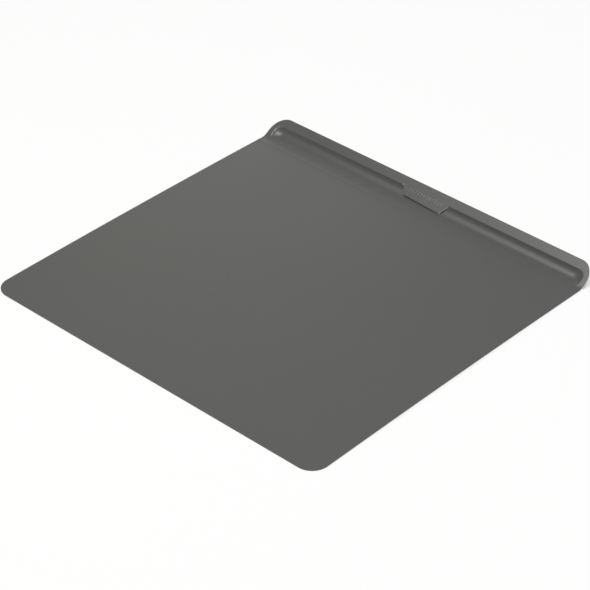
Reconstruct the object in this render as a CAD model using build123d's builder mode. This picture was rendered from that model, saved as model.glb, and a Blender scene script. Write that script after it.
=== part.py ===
from build123d import *
import os
from math import hypot, radians, tan

# Cookie sheet pressed from one blank, with a lip along its back edge and a tag plate across the lip.
# Millimetres. X runs along the lip, Y from the front edge to the lip, Z up.
# The origin is the middle of the flat underside's box, on the surface that the sheet stands on.

# Blank
sheet_width = 356.0
sheet_depth = 345.0
metal = 0.8
front_corner_radius = 15.4
back_corner_radius = 14.4

# Lip: a ramp along the back edge
lip_height = 13.0
lip_run = 20.6
heel_radius = 11.0

# Low ridge in front of the lip
ridge_setback = 28.2
ridge_reach = 2.6
ridge_height = 0.13
ridge_radius = 10.0

# Finger groove pressed into the lip: a gently rising bench, a wide cove and a short steep wall
bench_setback = 24.0
bench_angle = 5.0
bench_radius = 30.0
cove_radius = 9.0
wall_angle = 73.0
brow_setback = 7.3
brow_radius = 2.0

# Lands left at the sides of the groove, which are the ramp itself
land_width = 5.0
land_wall_angle = 40.0
groove_corner_radius = 12.0

# Tag plate, a strip folded down at its front, whose face is let into the ramp and is a little steeper
tag_shift = 0.8
tag_front_width = 40.0
tag_rear_width = 53.0
tag_front_left_setback = 13.3
tag_front_right_setback = 14.7
tag_rear_setback = 5.7
tag_angle = 39.5
tag_bend_radius = 1.4
tag_side_gap = 0.3

# Raised slanted bars on the tag plate
bars_setback = 8.6
bar_count = 12
bar_pitch = 3.2
bar_length = 4.6
bar_width = 1.4
bar_lean = 20.0
bar_rise = 0.45
bar_fillet = 0.3

# Cutting bodies and bodies that are trimmed later run past the sheet by this much
overrun = 20.0

front = -sheet_depth / 2
back = sheet_depth / 2
ridge = back - ridge_setback
bench_start = back - bench_setback
bench_slope = tan(radians(bench_angle))
heel = back - lip_run
lip_slope = lip_height / lip_run
brow = back - brow_setback
tag_rear = back - tag_rear_setback


def ramp_top(y):
    return metal + (y - heel) * lip_slope


def plane_rising_back(y, height, slope):
    """The plane through that place which rises towards the back."""
    return Plane((0, y, height), x_dir=(1, 0, 0), z_dir=(0, -slope, 1))


ramp_plane = plane_rising_back(heel, metal, lip_slope)
bench_plane = plane_rising_back(bench_start, metal, bench_slope)
wall_plane = plane_rising_back(brow, ramp_top(brow), tan(radians(wall_angle)))
tag_plane = plane_rising_back(tag_rear, ramp_top(tag_rear), tan(radians(tag_angle)))


def moved_into_metal(points, inset):
    """The same open outline with each of its lines moved down, square to itself, by inset."""
    lines = [(Vector(*end) - Vector(*start)).normalized() for start, end in zip(points, points[1:])]
    moved = []
    for point, arriving, leaving in zip(points, lines[:1] + lines, lines + lines[-1:]):
        both = arriving + leaving
        shift = Vector(both.Y, -both.X) * (inset / (1 + arriving.dot(leaving)))
        moved.append((point[0] + shift.X, point[1] + shift.Y))
    return moved


def ground_under(outline, radii, inset):
    """A body under a side-view outline, moved inset into the metal."""
    with BuildPart() as ground:
        with BuildSketch(Plane.YZ.offset(-sheet_width / 2 - overrun)):
            with BuildLine():
                top = FilletPolyline(moved_into_metal(outline, inset), radius=radii)
                end = top @ 1
                start = top @ 0
                Polyline(end, (end.X, -overrun), (start.X, -overrun), start)
            make_face()
        extrude(amount=sheet_width + 2 * overrun)
    return ground.part


def ramp_body(inset):
    outline = [(front - overrun, metal), (heel, metal), (back + overrun, ramp_top(back + overrun))]
    return ground_under(outline, [heel_radius + inset], inset)


def floor_body(inset):
    """The flat with its low ridge, and the groove's bench."""
    outline = [
        (front - overrun, metal),
        (ridge - ridge_reach, metal),
        (ridge, metal + ridge_height),
        (ridge + ridge_reach, metal),
        (bench_start, metal),
        (back + overrun, metal + (bench_setback + overrun) * bench_slope),
    ]
    radii = [ridge_radius + inset, ridge_radius - inset, ridge_radius + inset, bench_radius + inset]
    return ground_under(outline, radii, inset)


def groove_body(inset):
    """The space over the bench, with a cove along the foot of its back and side walls."""
    bench = bench_plane.offset(-inset)
    wall = wall_plane.offset(-inset)
    sides = []
    for side in (-1, 1):
        land_edge = (side * (sheet_width / 2 - land_width), heel, metal)
        upwards = (-side * tan(radians(land_wall_angle)), -lip_slope, 1)
        sides.append(Plane(land_edge, z_dir=upwards).offset(-inset))
    with BuildPart() as groove:
        with Locations((0, heel, -overrun)):
            Box(
                sheet_width + 2 * overrun,
                lip_run + 2 * overrun,
                lip_height + 3 * overrun,
                align=(Align.CENTER, Align.CENTER, Align.MIN),
            )
        for plane in [bench, wall] + sides:
            split(bisect_by=plane, keep=Keep.TOP)
        on_wall = groove.edges().filter_by(lambda edge: wall.contains(edge @ 0.5))
        corners = on_wall.filter_by(lambda edge: any(side.contains(edge @ 0.5) for side in sides))
        fillet(corners, groove_corner_radius + inset)
        on_bench = groove.edges().filter_by(lambda edge: bench.contains(edge @ 0.5))
        fillet(on_bench.sort_by(Axis.Y)[1:], cove_radius + inset)
    return groove.part


def brow_edges(form, inset):
    """The edges where the ramp meets the groove's walls."""
    ramp = ramp_plane.offset(-inset)
    on_ramp = form.edges().filter_by(lambda edge: ramp.contains(edge @ 0.5, tolerance=brow_radius / 1000))
    on_ramp = on_ramp.filter_by(lambda edge: abs(edge.center().X) < (sheet_width - land_width) / 2)
    return on_ramp.filter_by(lambda edge: edge.center().Y < brow + brow_radius)


def pressed_form(inset):
    """Everything under the sheet's top surface, with that surface moved inset into the metal."""
    with BuildPart() as form:
        add(ramp_body(inset))
        add(groove_body(inset), mode=Mode.SUBTRACT)
        add(floor_body(inset))
        fillet(brow_edges(form, inset), brow_radius - inset)
    return form.part


def column(*corners):
    """The space over and under an outline that is seen from above."""
    with BuildPart() as space:
        with BuildSketch():
            with BuildLine():
                Polyline(*corners, close=True)
            make_face()
        extrude(amount=lip_height + overrun)
    return space.part


def tag_column(gap):
    """The space over and under the tag plate, with a gap at its two sides."""
    half_front = tag_front_width / 2 + gap
    half_rear = tag_rear_width / 2 + gap
    return column(
        (tag_shift - half_front, back - tag_front_left_setback),
        (tag_shift + half_front, back - tag_front_right_setback),
        (tag_shift + half_rear, tag_rear),
        (tag_shift - half_rear, tag_rear),
    )


def tag_seat():
    """The space for the tag plate's face in the lip, with a slit at both of its sides."""
    with BuildPart() as seat:
        add(tag_column(tag_side_gap))
        split(bisect_by=tag_plane.offset(-metal), keep=Keep.TOP)
    return seat.part


def tag_hollow():
    """The space behind the tag plate's front leg and under its face."""
    slant = (tag_front_left_setback - tag_front_right_setback) / tag_front_width
    leg_back = back + metal - (tag_front_left_setback + tag_front_right_setback) / 2
    with BuildPart() as hollow:
        left = tag_shift - tag_rear_width
        right = tag_shift + tag_rear_width
        leg_left = (left, leg_back - tag_rear_width * slant)
        leg_right = (right, leg_back + tag_rear_width * slant)
        add(column(leg_left, leg_right, (right, back), (left, back)))
        split(bisect_by=tag_plane.offset(-metal), keep=Keep.BOTTOM)
    return hollow.part


os.makedirs("parts", exist_ok=True)

# The sheet, with a seat for the tag plate's face in its ramp
with BuildPart() as baking_sheet:
    add(pressed_form(0))
    add(pressed_form(metal), mode=Mode.SUBTRACT)
    with BuildSketch() as blank:
        Rectangle(sheet_width, sheet_depth)
        fillet(blank.vertices().group_by(Axis.Y)[0], front_corner_radius)
        fillet(blank.vertices().group_by(Axis.Y)[-1], back_corner_radius)
    extrude(amount=lip_height + overrun, both=True, mode=Mode.INTERSECT)
    add(tag_seat(), mode=Mode.SUBTRACT)
baking_sheet.part.label = "baking_sheet"
export_step(baking_sheet.part, "parts/baking_sheet.step")

# The tag plate: its front leg stands on the groove's floor, and its face lies in the seat
with BuildPart() as tag_plate:
    add(tag_column(0))
    split(bisect_by=tag_plane, keep=Keep.BOTTOM)
    split(bisect_by=bench_plane, keep=Keep.TOP)
    add(tag_hollow(), mode=Mode.SUBTRACT)
    for inset in (0, metal):
        surface = tag_plane.offset(-inset)
        bend = tag_plate.edges().filter_by(lambda edge: surface.contains(edge @ 0.5)).sort_by(Axis.Y)[0]
        fillet(bend, tag_bend_radius - inset)
    add(baking_sheet.part, mode=Mode.SUBTRACT)

    bars_height = ramp_top(tag_rear) - (bars_setback - tag_rear_setback) * tan(radians(tag_angle))
    bars_plane = Plane((tag_shift, back - bars_setback, bars_height), x_dir=(1, 0, 0), z_dir=tag_plane.z_dir)
    with BuildSketch(bars_plane):
        with GridLocations(bar_pitch, bar_length, bar_count, 1):
            SlotOverall(bar_length, bar_width, rotation=90 - bar_lean)
    extrude(amount=bar_rise)
    bar_tops = tag_plate.faces().filter_by(bars_plane).group_by(Axis(bars_plane.origin, bars_plane.z_dir))[-1]
    fillet(bar_tops.edges(), bar_fillet)
tag_plate.part.label = "tag_plate"
export_step(tag_plate.part, "parts/tag_plate.step")
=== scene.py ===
import math

import bmesh
import bpy
from mathutils import Matrix, Vector


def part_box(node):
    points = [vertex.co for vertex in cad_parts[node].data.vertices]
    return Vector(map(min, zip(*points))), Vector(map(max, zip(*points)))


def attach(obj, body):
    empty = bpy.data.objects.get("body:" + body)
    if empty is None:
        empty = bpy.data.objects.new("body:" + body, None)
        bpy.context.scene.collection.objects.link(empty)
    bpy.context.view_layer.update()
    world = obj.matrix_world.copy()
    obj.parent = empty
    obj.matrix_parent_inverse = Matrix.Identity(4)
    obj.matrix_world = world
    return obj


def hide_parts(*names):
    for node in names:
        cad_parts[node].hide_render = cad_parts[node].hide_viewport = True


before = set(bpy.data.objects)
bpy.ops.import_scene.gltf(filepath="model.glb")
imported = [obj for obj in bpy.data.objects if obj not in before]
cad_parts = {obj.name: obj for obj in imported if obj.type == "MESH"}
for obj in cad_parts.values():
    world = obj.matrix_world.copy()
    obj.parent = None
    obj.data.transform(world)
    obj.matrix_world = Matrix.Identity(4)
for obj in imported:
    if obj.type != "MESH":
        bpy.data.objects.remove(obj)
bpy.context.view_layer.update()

# Metres, in the part's frame: X along the lip, Y from the front edge to the lip, Z up.

# The real sheet bulges up a little between its front edge and its lip
CROWN = 0.00145
CROWN_STEPS = 24

# Camera, on the photograph's viewing angle
CAMERA_PLACE = (1.08222, -1.17104, 1.11333)
CAMERA_LOOK = (-0.554745, 0.600226, -0.576183)
CAMERA_LENS = 144.329
SENSOR = 36.0
CLIP_START = 0.05
CLIP_END = 50.0

# Floor, which lies just under the sheet and is shaded under the lip
FLOOR_SIZE = 8.0
FLOOR_DROP = 0.0002
FLOOR_GREY = 0.93
FLOOR_GLOW_SHARE = 0.85
FLOOR_SHADE_REACH = 0.016
FLOOR_SHADE_START = 0.155

# Light
BACKDROP_WHITE = (0.9, 0.9, 0.9, 1.0)
WORLD_COLOUR = (0.868, 0.9, 0.849, 1.0)
WORLD_STRENGTH = 0.345
LAMP_DISTANCE = 1.6
LAMP_AIM = (0.05, 0.05, 0.0)
LAMPS = {
    "top": dict(azimuth=265, elevation=74, size=0.8, power=12.65, colour=(1.0, 0.994, 0.972)),
    "top_left": dict(azimuth=200, elevation=76, size=0.8, power=2.701, colour=(1.0, 0.988, 0.941)),
    "top_right": dict(azimuth=310, elevation=70, size=0.8, power=0.518, colour=(1.0, 0.9, 0.8)),
    "right": dict(azimuth=0, elevation=15, size=0.8, power=4.81, colour=(0.92, 0.95, 1.0)),
    "front": dict(azimuth=235, elevation=50, size=0.8, power=2.442, colour=(1.0, 0.983, 0.916)),
    "back": dict(azimuth=92, elevation=38, size=0.8, power=1.332, colour=(0.8, 0.94, 1.0)),
    "back_left": dict(azimuth=140, elevation=35, size=0.8, power=0.296, colour=(1.0, 0.85, 0.7)),
    "low_back": dict(azimuth=135, elevation=14, size=0.7, power=1.14, colour=(0.996, 1.0, 0.971)),
}

# Coating
COAT_GREY = (0.087, 0.087, 0.087)
COAT_GREY_SPREAD = 0.06
COAT_SPECULAR = 0.675
COAT_ROUGHNESS = 0.34
COAT_ROUGHNESS_SPREAD = 0.02
GRAIN_SCALE = 1600.0
CLOUD_SCALE = 9.0
NOISE_DETAIL = 3.0
NOISE_LOW = 0.3
NOISE_HIGH = 0.7
GRAIN_BUMP_STRENGTH = 0.12
GRAIN_BUMP_HEIGHT = 0.0001

# Bare cut edges at the tag plate's two ends
CUT_GREY = (0.6, 0.6, 0.59, 1.0)
CUT_METALLIC = 0.2
CUT_ROUGHNESS = 0.4
CUT_ROUGHNESS_SPREAD = 0.1
CUT_MARK_SCALE = 3000.0
CUT_SIDEWAYS_SHARE = 0.6


def add_crowned(node, *materials):
    """The node's shape with the sheet's crown, cut across so that the flat can follow it.

    Where there are two materials, the second goes on the faces that look sideways.
    """
    low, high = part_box("baking_sheet")
    shape = bmesh.new()
    shape.from_mesh(node.data)
    for step in range(1, CROWN_STEPS):
        cut = low.y + (high.y - low.y) * step / CROWN_STEPS
        whole = shape.verts[:] + shape.edges[:] + shape.faces[:]
        bmesh.ops.bisect_plane(shape, geom=whole, plane_co=(0, cut, 0), plane_no=(0, 1, 0))
    for vert in shape.verts:
        vert.co.z += CROWN * (1 - (vert.co.y / high.y) ** 2)
    mesh = node.data.copy()
    shape.to_mesh(mesh)
    shape.free()
    mesh.materials.clear()
    for material in materials:
        mesh.materials.append(material)
    for face in mesh.polygons:
        face.material_index = int(len(materials) > 1 and abs(face.normal.x) > CUT_SIDEWAYS_SHARE)
    piece = bpy.data.objects.new(node.name + "_crowned", mesh)
    bpy.context.scene.collection.objects.link(piece)
    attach(piece, "root")
    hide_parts(node.name)


def new_material(name):
    material = bpy.data.materials.new(name)
    material.use_nodes = True
    material.node_tree.nodes.clear()
    return material, material.node_tree.nodes, material.node_tree.links


def coating():
    """Satin dark grey non-stick coating with a fine grain."""
    material, nodes, links = new_material("coated_steel")
    output = nodes.new("ShaderNodeOutputMaterial")
    shader = nodes.new("ShaderNodeBsdfPrincipled")
    shader.inputs["Specular IOR Level"].default_value = COAT_SPECULAR
    links.new(shader.outputs["BSDF"], output.inputs["Surface"])
    place = nodes.new("ShaderNodeTexCoord")

    grain = nodes.new("ShaderNodeTexNoise")
    grain.inputs["Scale"].default_value = GRAIN_SCALE
    grain.inputs["Detail"].default_value = NOISE_DETAIL
    links.new(place.outputs["Object"], grain.inputs["Vector"])

    clouds = nodes.new("ShaderNodeTexNoise")
    clouds.inputs["Scale"].default_value = CLOUD_SCALE
    clouds.inputs["Detail"].default_value = NOISE_DETAIL
    links.new(place.outputs["Object"], clouds.inputs["Vector"])

    def scaled(value, low, high):
        node = nodes.new("ShaderNodeMapRange")
        node.inputs["From Min"].default_value = NOISE_LOW
        node.inputs["From Max"].default_value = NOISE_HIGH
        node.inputs["To Min"].default_value = low
        node.inputs["To Max"].default_value = high
        links.new(value, node.inputs["Value"])
        return node.outputs["Result"]

    tint = nodes.new("ShaderNodeMix")
    tint.data_type = "RGBA"
    tint.inputs["A"].default_value = tuple((1 - COAT_GREY_SPREAD) * c for c in COAT_GREY) + (1.0,)
    tint.inputs["B"].default_value = tuple((1 + COAT_GREY_SPREAD) * c for c in COAT_GREY) + (1.0,)
    links.new(scaled(grain.outputs["Fac"], 0.0, 1.0), tint.inputs["Factor"])
    links.new(tint.outputs["Result"], shader.inputs["Base Color"])

    smoothest = COAT_ROUGHNESS - COAT_ROUGHNESS_SPREAD
    roughest = COAT_ROUGHNESS + COAT_ROUGHNESS_SPREAD
    links.new(scaled(clouds.outputs["Fac"], smoothest, roughest), shader.inputs["Roughness"])

    bump = nodes.new("ShaderNodeBump")
    bump.inputs["Strength"].default_value = GRAIN_BUMP_STRENGTH
    bump.inputs["Distance"].default_value = GRAIN_BUMP_HEIGHT
    links.new(grain.outputs["Fac"], bump.inputs["Height"])
    links.new(bump.outputs["Normal"], shader.inputs["Normal"])
    return material


def cut_edge():
    """Bare steel with fine shear marks, where the tag plate was cut."""
    material, nodes, links = new_material("cut_steel")
    output = nodes.new("ShaderNodeOutputMaterial")
    shader = nodes.new("ShaderNodeBsdfPrincipled")
    shader.inputs["Base Color"].default_value = CUT_GREY
    shader.inputs["Metallic"].default_value = CUT_METALLIC
    links.new(shader.outputs["BSDF"], output.inputs["Surface"])
    place = nodes.new("ShaderNodeTexCoord")
    marks = nodes.new("ShaderNodeTexNoise")
    marks.inputs["Scale"].default_value = CUT_MARK_SCALE
    links.new(place.outputs["Object"], marks.inputs["Vector"])
    wear = nodes.new("ShaderNodeMapRange")
    wear.inputs["To Min"].default_value = CUT_ROUGHNESS - CUT_ROUGHNESS_SPREAD
    wear.inputs["To Max"].default_value = CUT_ROUGHNESS + CUT_ROUGHNESS_SPREAD
    links.new(marks.outputs["Fac"], wear.inputs["Value"])
    links.new(wear.outputs["Result"], shader.inputs["Roughness"])
    return material


def floor_material():
    """Pale floor that is nearly white to the camera, keeps a soft shadow and is shaded under the lip."""
    material, nodes, links = new_material("floor")
    output = nodes.new("ShaderNodeOutputMaterial")
    diffuse = nodes.new("ShaderNodeBsdfDiffuse")
    diffuse.inputs["Color"].default_value = (FLOOR_GREY, FLOOR_GREY, FLOOR_GREY, 1.0)
    glow = nodes.new("ShaderNodeEmission")
    path = nodes.new("ShaderNodeLightPath")
    shade = nodes.new("ShaderNodeAmbientOcclusion")
    shade.inputs["Distance"].default_value = FLOOR_SHADE_REACH
    place = nodes.new("ShaderNodeTexCoord")
    apart = nodes.new("ShaderNodeSeparateXYZ")
    links.new(place.outputs["Object"], apart.inputs["Vector"])

    def combined(operation, first, second):
        node = nodes.new("ShaderNodeMath")
        node.operation = operation
        for socket, value in zip(node.inputs, (first, second)):
            if isinstance(value, float):
                socket.default_value = value
            else:
                links.new(value, socket)
        return node.outputs["Value"]

    seen = combined("MAXIMUM", path.outputs["Is Camera Ray"], path.outputs["Is Glossy Ray"])
    unshaded = combined("LESS_THAN", apart.outputs["Y"], FLOOR_SHADE_START)
    open_floor = combined("MAXIMUM", shade.outputs["AO"], unshaded)
    share = combined("MULTIPLY", combined("MULTIPLY", seen, open_floor), FLOOR_GLOW_SHARE)
    mix = nodes.new("ShaderNodeMixShader")
    links.new(share, mix.inputs["Fac"])
    links.new(diffuse.outputs["BSDF"], mix.inputs[1])
    links.new(glow.outputs["Emission"], mix.inputs[2])
    links.new(mix.outputs["Shader"], output.inputs["Surface"])
    return material


def add_floor():
    mesh = bpy.data.meshes.new("floor")
    half = FLOOR_SIZE / 2
    corners = [(-half, -half, 0), (half, -half, 0), (half, half, 0), (-half, half, 0)]
    mesh.from_pydata(corners, [], [(0, 1, 2, 3)])
    mesh.materials.append(floor_material())
    floor = bpy.data.objects.new("floor", mesh)
    floor.location.z = -FLOOR_DROP
    bpy.context.scene.collection.objects.link(floor)


def set_world():
    world = bpy.data.worlds.new("world")
    bpy.context.scene.world = world
    world.use_nodes = True
    nodes, links = world.node_tree.nodes, world.node_tree.links
    nodes.clear()
    output = nodes.new("ShaderNodeOutputWorld")
    sky = nodes.new("ShaderNodeBackground")
    sky.inputs["Color"].default_value = WORLD_COLOUR
    sky.inputs["Strength"].default_value = WORLD_STRENGTH
    white = nodes.new("ShaderNodeBackground")
    white.inputs["Color"].default_value = BACKDROP_WHITE
    path = nodes.new("ShaderNodeLightPath")
    mix = nodes.new("ShaderNodeMixShader")
    links.new(path.outputs["Is Camera Ray"], mix.inputs["Fac"])
    links.new(sky.outputs["Background"], mix.inputs[1])
    links.new(white.outputs["Background"], mix.inputs[2])
    links.new(mix.outputs["Shader"], output.inputs["Surface"])


def add_lamp(name, azimuth, elevation, size, power, colour):
    """A square lamp on a dome round the sheet. Azimuth 0 is +X and 90 is +Y."""
    turn, rise = math.radians(azimuth), math.radians(elevation)
    reach = math.cos(rise)
    place = LAMP_DISTANCE * Vector((reach * math.cos(turn), reach * math.sin(turn), math.sin(rise)))
    light = bpy.data.lights.new(name, "AREA")
    light.shape = "SQUARE"
    light.size = size
    light.energy = power
    light.color = colour
    lamp = bpy.data.objects.new(name, light)
    lamp.location = place
    lamp.rotation_mode = "QUATERNION"
    lamp.rotation_quaternion = (Vector(LAMP_AIM) - place).to_track_quat("-Z", "Y")
    bpy.context.scene.collection.objects.link(lamp)


def add_camera():
    camera = bpy.data.objects.new("camera", bpy.data.cameras.new("camera"))
    camera.data.lens = CAMERA_LENS
    camera.data.sensor_width = SENSOR
    camera.data.clip_start = CLIP_START
    camera.data.clip_end = CLIP_END
    look = Vector(CAMERA_LOOK).normalized()
    right = look.cross(Vector((0, 0, 1))).normalized()
    up = right.cross(look)
    camera.matrix_world = Matrix.Translation(CAMERA_PLACE) @ Matrix((right, up, -look)).transposed().to_4x4()
    bpy.context.scene.collection.objects.link(camera)
    bpy.context.scene.camera = camera


coat = coating()
add_crowned(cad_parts["baking_sheet"], coat)
add_crowned(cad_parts["tag_plate"], coat, cut_edge())

add_floor()
set_world()
for lamp_name, lamp_values in LAMPS.items():
    add_lamp(lamp_name, **lamp_values)
add_camera()
bpy.context.scene.view_settings.view_transform = "Standard"
